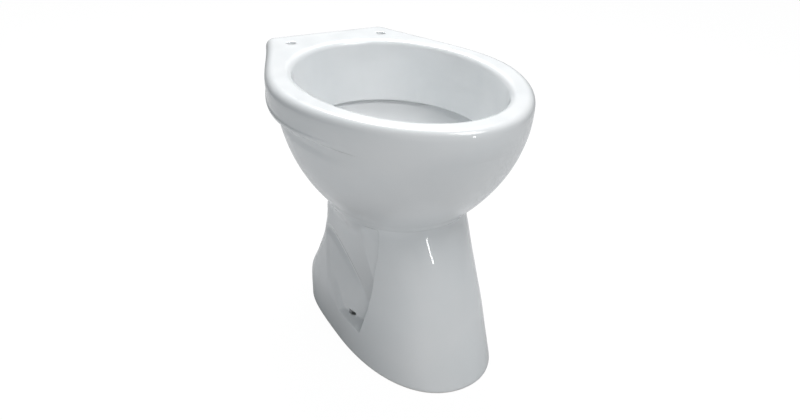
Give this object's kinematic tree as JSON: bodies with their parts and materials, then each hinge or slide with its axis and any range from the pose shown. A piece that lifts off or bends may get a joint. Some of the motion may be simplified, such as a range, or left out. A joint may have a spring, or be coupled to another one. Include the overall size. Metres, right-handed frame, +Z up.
{
  "type": "floor-standing toilet pan",
  "caption": "Floor-standing washdown toilet pan in white glazed china, with an oval rim, a flared pedestal, side recesses and a horizontal outlet.",
  "frame": {"origin": "on the floor, midway between the sides and midway between the front and rear tips", "axes": "+X to the right seen from the front, the front faces -Y, +Z is up"},
  "size_m": [0.356, 0.46, 0.395],
  "materials": {
    "china": "clear gloss glaze over white vitreous china",
    "seal_rubber": "matt black moulded rubber",
    "sleeve_plastic": "moulded polyethylene"
  },
  "bodies": {
    "root": {"rim_ring": "china", "bowl": "china", "trapway": "china", "outlet_spigot": "china", "inlet_horn": "china", "front_column": "china", "rear_leg": "china", "inlet_seal": "seal_rubber", "floor_sleeve_left": "sleeve_plastic", "floor_sleeve_right": "sleeve_plastic"}
  },
  "joints": []
}
